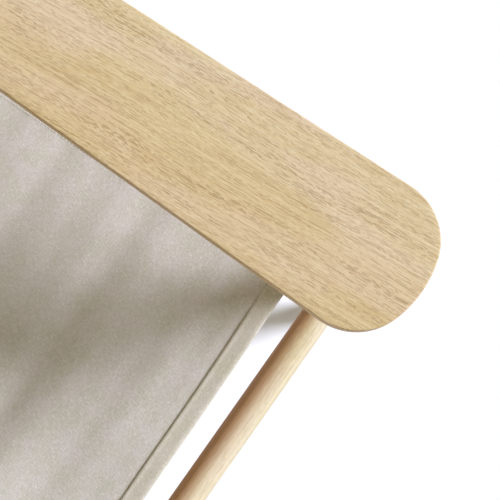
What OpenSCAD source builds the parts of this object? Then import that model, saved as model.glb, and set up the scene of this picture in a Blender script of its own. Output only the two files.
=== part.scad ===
/* [Frame] */
// Distance between the centre lines of the left and right legs
leg_span = 618; // [590:1:650]
// Distance of the front legs' centre line ahead of the origin
front_leg_ahead = 324; // [310:1:340]
// Distance along a side rail from the seat's rear rail to the rear leg's centre line
rear_leg_past_rail = 92; // [84:0.5:104]
// Rearward rake of the rear legs, in degrees
rear_leg_rake = 7.7; // [6:0.1:9]
// Rearward slope of the seat, in degrees
seat_slope = 12; // [10:0.5:13]
// Height of the side rails' centre lines at the front legs
side_rail_z = 372; // [360:1:385]

/* [Armrests] */
// Height of the armrests' top faces
arm_top_z = 540; // [530:1:560]
// Thickness of an armrest
arm_t = 20; // [19:0.5:24]
// Distance from an armrest's front tip back to the front leg's centre line
arm_overhang = 53; // [48:1:60]
// Distance from a back peg's centre line back to the armrest's rear end
arm_past_peg = 53.5; // [50:0.5:64]
// Width of an armrest near its front end
arm_front_w = 117; // [108:1:124]
// Width of an armrest near its rear end
arm_rear_w = 91; // [84:1:98]
// How much nearer the middle an armrest's centre line stands at the rear than at the front
arm_toe = 7.6; // [4:0.1:10]
// Corner radius at the front end
arm_front_corner_r = 47; // [36:1:50]
// Radius of the bowed front end
arm_front_bow_r = 90; // [75:1:120]
// Corner radius at the rear end
arm_rear_corner_r = 37; // [28:1:40]
// Radius of the bowed rear end
arm_rear_bow_r = 70; // [60:1:100]
// Radius of the top arris
arm_top_round = 1.8; // [1:0.1:3]
// Radius of the lower arris
arm_under_round = 2.6; // [1:0.1:4]

/* [Legs] */
// Thickest diameter of a leg, at its rail joints
leg_belly_d = 38; // [37:0.5:42]
// Diameter of a leg under the armrest
leg_head_d = 29; // [27:0.5:32]
// Diameter of a leg at its foot
leg_foot_d = 24; // [23:0.5:28]
// Diameter of the round tenon that enters the armrest
leg_tenon_d = 20; // [16:0.5:22]
// Length of that tenon
leg_tenon_len = 13; // [9:0.5:14]

/* [Rails] */
// Diameter of a side rail
side_rail_d = 30; // [28:0.5:31]
// Diameter of a side rail's tenons
side_tenon_d = 18; // [14:0.5:20]
// Diameter of the front and rear rails
cross_rail_d = 26; // [24:0.5:28]
// Diameter of the tenons of the front, rear and top rails
cross_tenon_d = 15; // [12:0.5:16]
// Drop from the side rail's centre line to the front rail's, at a leg
front_rail_drop = 37; // [36:0.5:44]
// Drop from the side rail's centre line to the rear rail's, along a rear leg
rear_rail_drop = 42; // [40:0.5:50]
// How far every rail tenon reaches past the centre line of the piece that holds it
tenon_past = 6; // [4:0.5:8]
// Distance from the seat canvas's rear hem to the centre line of the seat's rear rail
seat_rail_behind = 23; // [19:0.5:30]
// Thickest diameter of the seat's rear rail, which carries the back posts
seat_rail_d = 34; // [33:0.5:36]
// Diameter of that rail at its ends
seat_rail_end_d = 24; // [22:0.5:26]
// Diameter of its end tenons
seat_rail_tenon_d = 14; // [10:0.5:16]

/* [Back] */
// Clearance between a back post's side and the armrest's inner edge, at the back peg
post_clear = 7.8; // [6:0.1:12]
// Recline of the back from the vertical, in degrees
back_recline = 23.5; // [22:0.5:25]
// Diameter of a back post
post_d = 30; // [28:0.5:31]
// Diameter of the post's foot tenon
post_tenon_d = 15; // [12:0.5:16]
// Distance from the back canvas's upper hem up to the top rail's centre line
top_rail_above = 31; // [14:1:40]
// Distance from a post's top end down to the top rail's centre line
top_rail_below = 20; // [18:1:30]
// Diameter of a top rail
top_rail_d = 24; // [22:0.5:26]
// Diameter of the collar on a back peg
peg_collar_d = 16; // [14:0.5:18]
// Diameter of a back peg's two tenons
peg_tenon_d = 10; // [8:0.5:11]
// Length of a back peg's tenon in the armrest
peg_arm_tenon_len = 22; // [16:0.5:26]
// Length of a back peg's tenon in the post
peg_post_tenon_len = 17; // [14:0.5:20]

/* [Canvas] */
// Thickness of the canvas
canvas_t = 1.8; // [1.4:0.1:2.2]
// Sag of the seat canvas midway between the side rails
seat_sag = 18; // [14:0.5:20]
// Distance along a side rail from the front leg's centre line to the front hem
seat_canvas_from = 30; // [28:0.5:36]
// Length of the seat canvas along the side rails
seat_canvas_len = 454; // [430:1:480]
// Sag of the back canvas midway between the posts
back_sag = 16; // [12:0.5:19]
// Distance along a post from the rear seat rail's centre line to the lower hem
back_canvas_from = 44; // [38:1:50]
// Length of the back canvas along the posts
back_canvas_len = 386; // [360:1:400]
// How far past a bar's far side its sleeve follows it before it rises to its seam, in degrees
sleeve_turn = 50; // [42:1:60]
// Width of the overlap that is sewn to the back of the canvas
sleeve_seam_w = 12; // [8:0.5:16]
// Width of the hems at the ends of both canvases
hem_w = 16.5; // [14:0.5:20]
// Extra thickness of those hems
hem_extra = 1.2; // [0.8:0.1:1.6]

/* [Feet] */
// Diameter of a foot glide
glide_d = 21; // [19:0.5:22]
// Thickness of a glide's hard disc
glide_t = 2.5; // [2:0.1:4]
// Thickness of the felt pad under it
felt_t = 2.5; // [2:0.1:5]
// Diameter of the glide's pin
glide_pin_d = 3; // [2:0.5:4]
// Length of the glide's pin
glide_pin_len = 14; // [10:0.5:18]

/* [Hidden] */
$fn = 48;

oak = [0.85, 0.75, 0.60];
canvas = [0.77, 0.74, 0.68];
plastic = [0.25, 0.24, 0.23];
felt = [0.45, 0.42, 0.38];

// Radial clearance of glued tenons in their mortises
glue_gap = 0.1;
// Clearance left beyond the end of a tenon
end_gap = 1;
// Clearance between canvas and the rail or post that it wraps
canvas_gap = 0.3;
// Clearance round a peg's collar in the canvas, and between its ends and their seats
collar_gap = 3;
// How deep a rail's shoulder sits inside the leg's round surface
shoulder_cover = 0.5;
// Length by which a cut runs past the surface it opens
overrun = 30;
// Bevel round a leg's foot and a post's top
end_bevel = 2;
// Distance over which the rear seat rail swells from its ends to full thickness
swell_len = 24;
// Distance from a back post's side to the start of that swelling
swell_start = 8;
// Steps along a leg's curve below and above its belly, and round a wrapped edge
curve_steps = 10;
wrap_steps = 16;
sag_steps = 8;
arris_steps = 3;
arm_facets = 72;

leg_x = leg_span / 2;
front_leg_y = -front_leg_ahead;
foot_z = felt_t + glide_t;
arm_under_z = arm_top_z - arm_t;
arm_tip_y = front_leg_y - arm_overhang;
canvas_in_r = side_rail_d / 2 + canvas_gap;
back_in_r = post_d / 2 + canvas_gap;

// The seat's rear rail stands just behind the canvas, and the rear legs behind that rail
seat_rail_at = seat_canvas_from + seat_canvas_len + seat_rail_behind;
side_rail_len = seat_rail_at + rear_leg_past_rail;
rear_joint_y = front_leg_y + side_rail_len * cos(seat_slope);
rear_joint_z = side_rail_z - side_rail_len * sin(seat_slope);
rear_leg_len = (arm_under_z - foot_z) / cos(rear_leg_rake);
rear_belly = (rear_joint_z - foot_z) / cos(rear_leg_rake);
front_belly = side_rail_z - foot_z;
rear_foot_y = rear_joint_y + (rear_joint_z - foot_z) * tan(rear_leg_rake);

seat_rail_y = front_leg_y + seat_rail_at * cos(seat_slope);
seat_rail_z = side_rail_z - seat_rail_at * sin(seat_slope);

// The back peg lies level with the middle of the armrest's thickness
peg_z = arm_under_z + arm_t / 2;
peg_at = (peg_z - seat_rail_z) / cos(back_recline);
peg_y = seat_rail_y + (peg_z - seat_rail_z) * tan(back_recline);
arm_end_y = peg_y + arm_past_peg;

arm_front_x = leg_x;
arm_rear_x = leg_x - arm_toe;

// Centre of a rounded corner, set inside the bowed end so that the two arcs are tangent
function corner_back(bow_r, corner_r, half_w) =
    bow_r - sqrt(pow(bow_r - corner_r, 2) - pow(half_w - corner_r, 2));
front_corner_y = arm_tip_y + corner_back(arm_front_bow_r, arm_front_corner_r, arm_front_w / 2);
rear_corner_y = arm_end_y - corner_back(arm_rear_bow_r, arm_rear_corner_r, arm_rear_w / 2);
front_in_x = arm_front_x - arm_front_w / 2;
rear_in_x = arm_rear_x - arm_rear_w / 2;
arm_edge_turn = atan((rear_in_x - front_in_x) / (rear_corner_y - front_corner_y));
// The armrest's inner edge where the back peg enters it
peg_arm_x = front_in_x + (peg_y - front_corner_y) * tan(arm_edge_turn);
post_x = peg_arm_x - post_clear - post_d / 2;

// Radius of a leg at a distance along it, with its belly and whole length given
function leg_r(at, belly, len) =
    at < belly
    ? leg_foot_d / 2 + (leg_belly_d - leg_foot_d) / 2 * sin(90 * at / belly)
    : leg_head_d / 2 + (leg_belly_d - leg_head_d) / 2 * cos(90 * (at - belly) / (len - belly));

// Distance from a round piece's centre line to the shoulder of a rail housed in it
function shoulder(holder_r, rail_r) =
    sqrt(pow(holder_r, 2) - pow(rail_r, 2)) - shoulder_cover;

front_leg_len = arm_under_z - foot_z;
front_side_shoulder = shoulder(leg_belly_d / 2, side_rail_d / 2);
front_rail_at = front_belly - front_rail_drop;
front_rail_z = side_rail_z - front_rail_drop;
front_cross_shoulder = shoulder(leg_r(front_rail_at, front_belly, front_leg_len),
    cross_rail_d / 2);
rear_rail_at = rear_belly - rear_rail_drop;
rear_cross_shoulder = shoulder(leg_r(rear_rail_at, rear_belly, rear_leg_len),
    cross_rail_d / 2);
seat_rail_shoulder = shoulder(side_rail_d / 2, seat_rail_end_d / 2);
post_shoulder = shoulder(seat_rail_d / 2, post_d / 2);
top_rail_shoulder = shoulder(post_d / 2, top_rail_d / 2);
top_rail_at = back_canvas_from + back_canvas_len + top_rail_above;
post_len = top_rail_at + top_rail_below;

// A round bar along X, Y or Z, between two distances
module bar_x(d, from, to) {
    translate([from, 0, 0]) rotate([0, 90, 0]) cylinder(d = d, h = to - from);
}
module bar_y(d, from, to) {
    translate([0, from, 0]) rotate([-90, 0, 0]) cylinder(d = d, h = to - from);
}
module bar_z(d, from, to) {
    translate([0, 0, from]) cylinder(d = d, h = to - from);
}

// The frames of reference that the pieces are laid out in
module at_front_leg() {
    translate([leg_x, front_leg_y, foot_z]) children();
}
module at_rear_leg() {
    translate([leg_x, rear_foot_y, foot_z]) rotate([rear_leg_rake, 0, 0]) children();
}
module at_side_rail() {
    translate([leg_x, front_leg_y, side_rail_z]) rotate([-seat_slope, 0, 0]) children();
}
module at_seat() {
    translate([0, front_leg_y, side_rail_z]) rotate([-seat_slope, 0, 0]) children();
}
module at_back() {
    translate([0, seat_rail_y, seat_rail_z]) rotate([-back_recline, 0, 0]) children();
}
module at_back_post() {
    translate([post_x, seat_rail_y, seat_rail_z]) rotate([-back_recline, 0, 0]) children();
}
module on_right() {
    mirror([1, 0, 0]) children();
}

// Half profile of a disc with rounded arrises, as thick as the armrest
function arris(r, z, round, from) = [
    for (i = [0 : arris_steps])
        let (a = from + 90 * i / arris_steps)
        [r - round + round * cos(a), z + round * sin(a)]
];
module rounded_disc(r, angle = 360) {
    rotate_extrude(angle = angle, $fn = arm_facets)
        polygon(concat(
            [[0, 0]],
            arris(r, arm_under_round, arm_under_round, -90),
            arris(r, arm_t - arm_top_round, arm_top_round, 0),
            [[0, arm_t]]));
}

// A segment of the bowed end, between its two corner tangents
module bowed_end(bow_r, corner_r, half_w) {
    spread = asin((half_w - corner_r) / (bow_r - corner_r));
    rotate([0, 0, -90 - spread]) rounded_disc(bow_r, 2 * spread);
}
module arm_board() {
    hull() {
        for (side = [-1, 1]) {
            translate([arm_front_x + side * (arm_front_w / 2 - arm_front_corner_r),
                front_corner_y, 0]) rounded_disc(arm_front_corner_r);
            translate([arm_rear_x + side * (arm_rear_w / 2 - arm_rear_corner_r),
                rear_corner_y, 0]) rounded_disc(arm_rear_corner_r);
        }
        translate([arm_front_x, arm_tip_y + arm_front_bow_r, 0])
            bowed_end(arm_front_bow_r, arm_front_corner_r, arm_front_w / 2);
        translate([arm_rear_x, arm_end_y - arm_rear_bow_r, 0])
            mirror([0, 1, 0])
                bowed_end(arm_rear_bow_r, arm_rear_corner_r, arm_rear_w / 2);
    }
}
module armrest() {
    color(oak) difference() {
        translate([0, 0, arm_under_z]) arm_board();
        at_front_leg() bar_z(leg_tenon_d + 2 * glue_gap, front_leg_len - overrun,
            front_leg_len + leg_tenon_len + end_gap);
        at_rear_leg() bar_z(leg_tenon_d + 2 * glue_gap, rear_leg_len - overrun,
            rear_leg_len + leg_tenon_len + end_gap);
        translate([peg_arm_x, peg_y, peg_z])
            bar_x(peg_tenon_d + 2 * glue_gap, -overrun, peg_arm_tenon_len + end_gap);
    }
}

// A turned leg with its belly at the rail joints
module spindle(belly, len) {
    rotate_extrude() polygon(concat(
        [[0, 0], [leg_foot_d / 2 - end_bevel, 0]],
        [for (i = [1 : curve_steps])
            let (at = end_bevel + (belly - end_bevel) * i / curve_steps)
            [leg_r(at, belly, len), at]],
        [for (i = [1 : curve_steps])
            let (at = belly + (len - belly) * i / curve_steps)
            [leg_r(at, belly, len), at]],
        [[0, len]]));
}
module glide_hole() {
    bar_z(glide_pin_d, -end_gap, glide_pin_len + end_gap);
}
module side_rail_socket(shoulder_at) {
    bar_y(side_rail_d + 2 * glue_gap, shoulder_at, shoulder_at + overrun);
    bar_y(side_tenon_d + 2 * glue_gap, -tenon_past - end_gap, shoulder_at + overrun);
}
module cross_rail_socket(rail_d, shoulder_at) {
    bar_x(rail_d + 2 * glue_gap, -shoulder_at - overrun, -shoulder_at);
    bar_x(cross_tenon_d + 2 * glue_gap, -shoulder_at - overrun, tenon_past + end_gap);
}
module front_leg() {
    color(oak) difference() {
        at_front_leg() {
            spindle(front_belly, front_leg_len);
            bar_z(leg_tenon_d, front_leg_len - end_bevel, front_leg_len + leg_tenon_len);
        }
        at_front_leg() glide_hole();
        at_side_rail() side_rail_socket(front_side_shoulder);
        translate([leg_x, front_leg_y, front_rail_z])
            cross_rail_socket(cross_rail_d, front_cross_shoulder);
    }
}
module rear_leg() {
    color(oak) difference() {
        union() {
            intersection() {
                at_rear_leg() translate([0, 0, -end_bevel])
                    spindle(rear_belly + end_bevel, rear_leg_len + 2 * end_bevel);
                translate([leg_x - overrun, -overrun, foot_z])
                    cube([2 * overrun, rear_foot_y + 2 * overrun, arm_under_z - foot_z]);
            }
            at_rear_leg() bar_z(leg_tenon_d, rear_leg_len - leg_tenon_len,
                rear_leg_len + leg_tenon_len);
        }
        translate([leg_x, rear_foot_y, foot_z]) glide_hole();
        at_side_rail() translate([0, side_rail_len, 0]) mirror([0, 1, 0])
            side_rail_socket(front_side_shoulder);
        at_rear_leg() translate([0, 0, rear_rail_at])
            cross_rail_socket(cross_rail_d, rear_cross_shoulder);
    }
}

module side_rail() {
    color(oak) difference() {
        at_side_rail() {
            bar_y(side_rail_d, front_side_shoulder, side_rail_len - front_side_shoulder);
            bar_y(side_tenon_d, -tenon_past, side_rail_len + tenon_past);
        }
        at_side_rail() translate([0, seat_rail_at, 0]) {
            bar_x(seat_rail_end_d + 2 * glue_gap, -seat_rail_shoulder - overrun,
                -seat_rail_shoulder);
            bar_x(seat_rail_tenon_d + 2 * glue_gap, -overrun, tenon_past + end_gap);
        }
    }
}

// A straight rail between two holders, with a tenon at each end
module cross_rail(d, half, shoulder_at) {
    bar_x(d, shoulder_at - half, half - shoulder_at);
    bar_x(cross_tenon_d, -half - tenon_past, half + tenon_past);
}
module front_rail() {
    color(oak) translate([0, front_leg_y, front_rail_z])
        cross_rail(cross_rail_d, leg_x, front_cross_shoulder);
}
module rear_rail() {
    color(oak) translate([0, rear_foot_y, foot_z]) rotate([rear_leg_rake, 0, 0])
        translate([0, 0, rear_rail_at])
            cross_rail(cross_rail_d, leg_x, rear_cross_shoulder);
}

// The seat's rear rail swells where the back posts stand in it
swell_x = post_x + post_d / 2 + swell_start;
function swell_r(u) = seat_rail_end_d / 2
    + (seat_rail_d - seat_rail_end_d) / 2 * (1 + cos(180 * u)) / 2;
module rear_seat_rail() {
    color(oak) difference() {
        at_back() {
            rotate([0, 90, 0]) for (side = [0, 1]) mirror([0, 0, side])
                rotate_extrude() polygon(concat(
                    [[0, 0], [seat_rail_d / 2, 0]],
                    [for (i = [0 : wrap_steps])
                        [swell_r(i / wrap_steps), swell_x + swell_len * i / wrap_steps]],
                    [[seat_rail_end_d / 2, leg_x - seat_rail_shoulder],
                        [0, leg_x - seat_rail_shoulder]]));
            bar_x(seat_rail_tenon_d, -leg_x - tenon_past, leg_x + tenon_past);
        }
        for (side = [0, 1]) mirror([side, 0, 0]) at_back_post() {
            bar_z(post_d + 2 * glue_gap, post_shoulder, post_shoulder + overrun);
            bar_z(post_tenon_d + 2 * glue_gap, -tenon_past - end_gap, overrun);
        }
    }
}

module back_post() {
    color(oak) difference() {
        at_back_post() {
            rotate_extrude() polygon([
                [0, post_shoulder], [post_d / 2, post_shoulder],
                [post_d / 2, post_len - end_bevel], [post_d / 2 - end_bevel, post_len],
                [0, post_len]]);
            bar_z(post_tenon_d, -tenon_past, post_len - end_bevel);
        }
        at_back_post() translate([0, 0, top_rail_at])
            cross_rail_socket(top_rail_d, top_rail_shoulder);
        translate([post_x, peg_y, peg_z])
            bar_x(peg_tenon_d + 2 * glue_gap, post_d / 2 - peg_post_tenon_len - end_gap,
                overrun);
    }
}
module top_rail() {
    color(oak) at_back() translate([0, 0, top_rail_at])
        cross_rail(top_rail_d, post_x, top_rail_shoulder);
}

// A turned peg that holds the back post clear of the armrest's inner edge
module back_peg() {
    color(oak) translate([0, peg_y, peg_z]) {
        difference() {
            bar_x(peg_collar_d, post_x, peg_arm_x + peg_collar_d);
            translate([0, -peg_y, -peg_z]) at_back_post()
                bar_z(post_d + 2 * glue_gap, peg_at - overrun, peg_at + overrun);
            translate([peg_arm_x - glue_gap, 0, 0]) rotate([0, 0, -arm_edge_turn])
                translate([0, -overrun, -overrun]) cube(2 * overrun);
        }
        bar_x(peg_tenon_d, post_x + post_d / 2 - peg_post_tenon_len,
            peg_arm_x + peg_arm_tenon_len);
    }
}

// Radius of a sling's sagging face on its bar side, and the angle at which it meets a bar
function sag_reach(half_span, sag) = (pow(half_span, 2) + pow(sag, 2)) / (2 * sag);
function sag_radius(half_span, in_r, sag) = sag_reach(half_span, sag) - in_r;
function sag_tangent(half_span, sag) = asin(half_span / sag_reach(half_span, sag));

// A point of that face at an angle from the middle, in the cross-section
function sag_point(half_span, in_r, sag, a) =
    let (r = sag_radius(half_span, in_r, sag))
    [r * sin(a), in_r - sag + r * (1 - cos(a))];

// The canvas round a bar, from where it meets the sagging face: the bar side's points
// and their outward directions
function wrap_half(half_span, in_r, sag) =
    let (tangent = sag_tangent(half_span, sag))
    [for (i = [0 : wrap_steps])
        let (a = 90 + tangent - (180 + tangent + sleeve_turn) * i / wrap_steps)
        [[half_span + in_r * cos(a), in_r * sin(a)], [cos(a), sin(a)]]];

// Where a sleeve leaves the bar for its seam, and the angle from the sag's middle at
// which its straight side meets the sagging face
function sleeve_leave(half_span, in_r) =
    [half_span - in_r * sin(sleeve_turn), -in_r * cos(sleeve_turn)];
function seam_angle(half_span, in_r, sag) =
    let (
        r = sag_radius(half_span, in_r, sag),
        leave = sleeve_leave(half_span, in_r),
        along = [-cos(sleeve_turn), sin(sleeve_turn)],
        off = leave - [0, in_r - sag + r],
        ahead = -(off * along) - sqrt(pow(off * along, 2) - off * off + r * r)
    )
    asin((leave[0] + ahead * along[0]) / r);

// Right half of a sling's outline, sleeves filled: its upper face from the middle, round
// the bar and up to the seam, and its lower face from the sewn overlap to the middle
function sling_outline(half_span, in_r, sag, thick) =
    let (
        r = sag_radius(half_span, in_r, sag),
        sag_angles = [for (i = [0 : sag_steps - 1]) sag_tangent(half_span, sag) * i / sag_steps],
        seam = seam_angle(half_span, in_r, sag),
        end = seam - sleeve_seam_w / r * 180 / PI,
        rising = [-sin(sleeve_turn), -cos(sleeve_turn)],
        lying = [sin(seam), -cos(seam)],
        mitre = (rising + lying) / (1 + rising * lying)
    )
    concat(
        [for (a = sag_angles)
            sag_point(half_span, in_r, sag, a) + thick * [-sin(a), cos(a)]],
        [for (p = wrap_half(half_span, in_r, sag)) p[0] + thick * p[1]],
        [
            sag_point(half_span, in_r, sag, seam) + thick * mitre,
            sag_point(half_span, in_r, sag, end) + thick * [sin(end), -cos(end)],
            sag_point(half_span, in_r, sag, end)
        ],
        [for (i = [sag_steps - 1 : -1 : 0]) if (sag_angles[i] < end)
            sag_point(half_span, in_r, sag, sag_angles[i])]);
module sling_section(half_span, in_r, sag, thick) {
    half = sling_outline(half_span, in_r, sag, thick);
    polygon(concat(half, [for (i = [len(half) - 2 : -1 : 1]) [-half[i][0], half[i][1]]]));
}
module sleeve_bore(half_span, in_r, sag) {
    polygon(concat(
        [for (p = wrap_half(half_span, in_r, sag)) p[0]],
        [sag_point(half_span, in_r, sag, seam_angle(half_span, in_r, sag))]));
}

// A sling stretched along Y, its sagging face up, with thicker hems at both ends
module sling(half_span, in_r, sag, length) {
    rotate([90, 0, 0]) mirror([0, 0, 1]) difference() {
        union() {
            translate([0, 0, hem_w]) linear_extrude(length - 2 * hem_w)
                sling_section(half_span, in_r, sag, canvas_t);
            for (at = [0, length - hem_w]) translate([0, 0, at]) linear_extrude(hem_w)
                sling_section(half_span, in_r, sag, canvas_t + hem_extra);
        }
        for (side = [0, 1]) mirror([side, 0, 0]) translate([0, 0, -overrun])
            linear_extrude(length + 2 * overrun) sleeve_bore(half_span, in_r, sag);
    }
}

module at_seat_canvas() {
    at_seat() translate([0, seat_canvas_from, 0]) children();
}
// The back's sling runs up the posts with its sagging face to the front
module at_back_canvas() {
    at_back() translate([0, 0, back_canvas_from]) rotate([90, 0, 0]) children();
}
module seat_canvas() {
    color(canvas) at_seat_canvas() sling(leg_x, canvas_in_r, seat_sag, seat_canvas_len);
}
module back_canvas() {
    color(canvas) difference() {
        at_back_canvas() sling(post_x, back_in_r, back_sag, back_canvas_len);
        for (side = [0, 1]) mirror([side, 0, 0]) translate([post_x, peg_y, peg_z])
            bar_x(peg_collar_d + 2 * collar_gap, 0, overrun);
    }
}

module at_feet() {
    for (side = [-1, 1]) for (y = [front_leg_y, rear_foot_y])
        translate([side * leg_x, y, 0]) children();
}
module glide_bodies() {
    color(plastic) at_feet() {
        bar_z(glide_d, felt_t, foot_z);
        bar_z(glide_pin_d - 2 * glue_gap, felt_t, foot_z + glide_pin_len);
    }
}
module glide_felts() {
    color(felt) at_feet() bar_z(glide_d, 0, felt_t);
}

armrest();  // left_armrest
on_right() armrest();  // right_armrest
front_leg();  // left_front_leg
on_right() front_leg();  // right_front_leg
rear_leg();  // left_rear_leg
on_right() rear_leg();  // right_rear_leg
side_rail();  // left_side_rail
on_right() side_rail();  // right_side_rail
front_rail();
rear_rail();
rear_seat_rail();
back_post();  // left_back_post
on_right() back_post();  // right_back_post
top_rail();
back_peg();  // left_back_peg
on_right() back_peg();  // right_back_peg
seat_canvas();
back_canvas();
glide_bodies();
glide_felts();
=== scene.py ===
import math

import bpy
import numpy as np
from mathutils import Matrix, Vector, noise


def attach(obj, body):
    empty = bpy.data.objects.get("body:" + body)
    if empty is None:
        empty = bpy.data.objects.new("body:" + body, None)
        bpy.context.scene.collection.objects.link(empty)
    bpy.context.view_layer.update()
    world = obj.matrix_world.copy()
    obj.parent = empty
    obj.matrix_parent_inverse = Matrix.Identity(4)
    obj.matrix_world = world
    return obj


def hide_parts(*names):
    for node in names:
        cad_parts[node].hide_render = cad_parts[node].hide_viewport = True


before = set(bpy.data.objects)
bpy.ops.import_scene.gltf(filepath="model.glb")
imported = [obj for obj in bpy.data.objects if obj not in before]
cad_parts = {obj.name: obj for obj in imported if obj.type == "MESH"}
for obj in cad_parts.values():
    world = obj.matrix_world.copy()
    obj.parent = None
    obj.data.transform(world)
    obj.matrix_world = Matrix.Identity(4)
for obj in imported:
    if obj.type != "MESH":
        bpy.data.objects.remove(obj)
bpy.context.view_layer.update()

# Driving sizes of the chair, in metres and degrees, the same as the frame's
SEAT_SLOPE = 12.0
BACK_RECLINE = 23.5
REAR_LEG_RAKE = 7.7
LEG_X = 0.309
FRONT_LEG_Y = -0.324
SIDE_RAIL_Z = 0.372
SIDE_RAIL_R = 0.015
SEAT_RAIL_AT = 0.507
POST_X = 0.232968
POST_R = 0.015
CANVAS_GAP = 0.0003
CANVAS_T = 0.0018
SEAT_SAG = 0.018
SEAT_FROM = 0.030
SEAT_LEN = 0.454
BACK_SAG = 0.016
BACK_FROM = 0.044
BACK_LEN = 0.386
HEM_W = 0.0165
SLEEVE_TURN = 50.0
SEAM_W = 0.012
PEG_Y = 0.286455
PEG_Z = 0.530
OPENING_R = 0.011
ARM_TOP = 0.540
ARM_T = 0.020
ARM_TIP_Y = -0.377
ARM_END_Y = 0.33996
ARM_FRONT_W = 0.117
ARM_REAR_W = 0.091
ARM_TOE = 0.0076
ARM_FRONT_CORNER_R = 0.047
ARM_FRONT_BOW_R = 0.090
ARM_REAR_CORNER_R = 0.037
ARM_REAR_BOW_R = 0.070
ARM_UNDER_ROUND = 0.0026
# The armrests' top arris is finer here than in the frame, and the hems are 0.1 mm thicker
ARM_TOP_ROUND = 0.0010
HEM_EXTRA = 0.0013

# Finer shapes of the cloths' edges: the roll of a hem's outer edge, how far a hem hangs lower
# midway between the bars, the width of its step down to the cloth behind it, the stitched groove
# and the crown beside it, each with its place from the hem's inner edge and its half width, and
# the roll of the edges that are sewn down
HEM_ROLL = 0.0042
HEM_DROOP = 0.0021
DROOP_FROM_HEM = (-0.002, 0.040)
DROOP_FROM_BAR = (0.06, 0.16)
HEM_STEP = 0.0012
GROOVE_DEPTH, GROOVE_AT, GROOVE_HALF = 0.00055, 0.0002, 0.0006
CROWN_HEIGHT, CROWN_AT, CROWN_HALF = 0.00035, -0.0024, 0.0016
CUT_ROLL = 0.001

# Soft creases across the seat and back: place along the bars, depth by the bars and at the
# middle, and half width
SEAT_CREASES = ((0.038, 0.0008, 0.0002, 0.009), (0.043, 0.0018, 0.0011, 0.020),
    (0.079, 0.0020, 0.0031, 0.021), (0.109, 0.0026, 0.0012, 0.021),
    (0.148, 0.0030, 0.0056, 0.021), (0.157, 0.0000, 0.0026, 0.016),
    (0.203, 0.0021, 0.0011, 0.021), (0.2455, 0.0021, 0.0042, 0.021),
    (0.315, 0.0016, 0.0022, 0.020), (0.380, 0.0008, 0.0016, 0.018))
BACK_CREASES = ((0.072, 0.0008, 0.0014, 0.014), (0.146, 0.0018, 0.0028, 0.020),
    (0.212, 0.0010, 0.0012, 0.016), (0.300, 0.0014, 0.0022, 0.020))
# Long low swellings beside the bars: place across, height and half width
SEAT_SWELLS = ((0.235, 0.0026, 0.035), (0.165, 0.0017, 0.045), (0.090, 0.0026, 0.045))
BACK_SWELLS = ((0.160, 0.0014, 0.035), (0.080, 0.0012, 0.040))
# How far a crease runs toward the first hem per metre across, how far in from a bar it has its
# middle depth, as a share of the half span, and how far the hems and bars keep the cloth smooth
CREASE_BEND = 0.03
MIDDLE_SHARE = 0.84
HEM_CALM = 0.03
BAR_CALM = 0.035
# Waves and puckers: height, cells per metre across and along the bars, and place in the noise,
# and for the puckers their place from the hem's inner edge or the seam, and their half width
WAVE_HEIGHT, WAVE_CELLS = 0.0006, (2.2, 27.0)
SMALL_HEIGHT, SMALL_CELLS, SMALL_PLACE = 0.0003, (7.0, 75.0), 4.0
HEM_PUCKER_HEIGHT, HEM_PUCKER_CELLS, HEM_PUCKER_PLACE = 0.00022, (150.0, 30.0), 9.0
HEM_PUCKER_AT, HEM_PUCKER_HALF = 0.003, 0.004
SEAM_PUCKER_HEIGHT, SEAM_PUCKER_CELLS, SEAM_PUCKER_PLACE = 0.0002, (30.0, 150.0), 5.0
SEAM_PUCKER_AT, SEAM_PUCKER_HALF = -0.006, 0.006

# How finely the meshes are cut, as steps from one place to the next. Beside a seam the cloth is
# cut finer, an opening takes the grid's cells out to a number of its half sizes, and the armrests
# have one more ring of points on their flat faces.
BESIDE_SEAM = 0.016
SAG_CUTS, BESIDE_SEAM_CUTS, WRAP_CUTS, RUN_CUTS, SEWN_CUTS = 71, 25, 33, 8, 8
CUT_ROLL_PLACES = (0.0006, 0.0003, 0.0001, 0.0)
HEM_ROLL_SHARES = (0.0, 0.03, 0.1, 0.2, 0.35, 0.55, 0.8)
HEM_FLAT_TO, HEM_GROOVE_TO, HEM_BEHIND_TO = -0.0048, 0.0020, 0.016
HEM_FLAT_CUTS, HEM_GROOVE_CUTS, HEM_BEHIND_CUTS, LENGTH_CUTS = 7, 21, 8, 109
OPENING_REACH = 1.3
OPENING_RING_SHARES = (0.0, 0.06, 0.2, 0.45, 0.72)
ARM_ARC_STEPS = 22
ARRIS_STEPS = 6
ARM_TOP_INNER = 4 * ARM_TOP_ROUND
ARM_UNDER_INNER = 2 * ARM_UNDER_ROUND

# Stitches: length, pitch and radius, shape from end to end in shares of these, how far a row
# stays clear of the cloth's ends, and how far it is from the sewn part's two edges
STITCH_LEN = 0.0028
STITCH_PITCH = 0.0037
STITCH_R = 0.00034
STITCH_SIDES = 6
STITCH_SHARES = (0.0, 0.08, 0.3, 0.7, 0.92, 1.0)
STITCH_HEIGHTS = (-1.2, -0.3, 0.5, 0.5, -0.3, -1.2)
ROW_CLEAR = 0.004
SEAM_ROW_IN = 0.0026
OPENING_STITCHES = 60
OPENING_STITCH_FROM = 0.0001
OPENING_STITCH_LEN = 0.0026

# The photograph's view: nearly straight down on the sitter's left armrest
VIEW_TARGET = Vector((0.2619, -0.2587, 0.540))
VIEW_HEADING = -54.7
VIEW_TILT = 7.0
VIEW_DISTANCE = 1.0
LENS_MM = 100.0
SENSOR_MM = 36.0
CLIP_NEAR, CLIP_FAR = 0.05, 50.0

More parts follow.
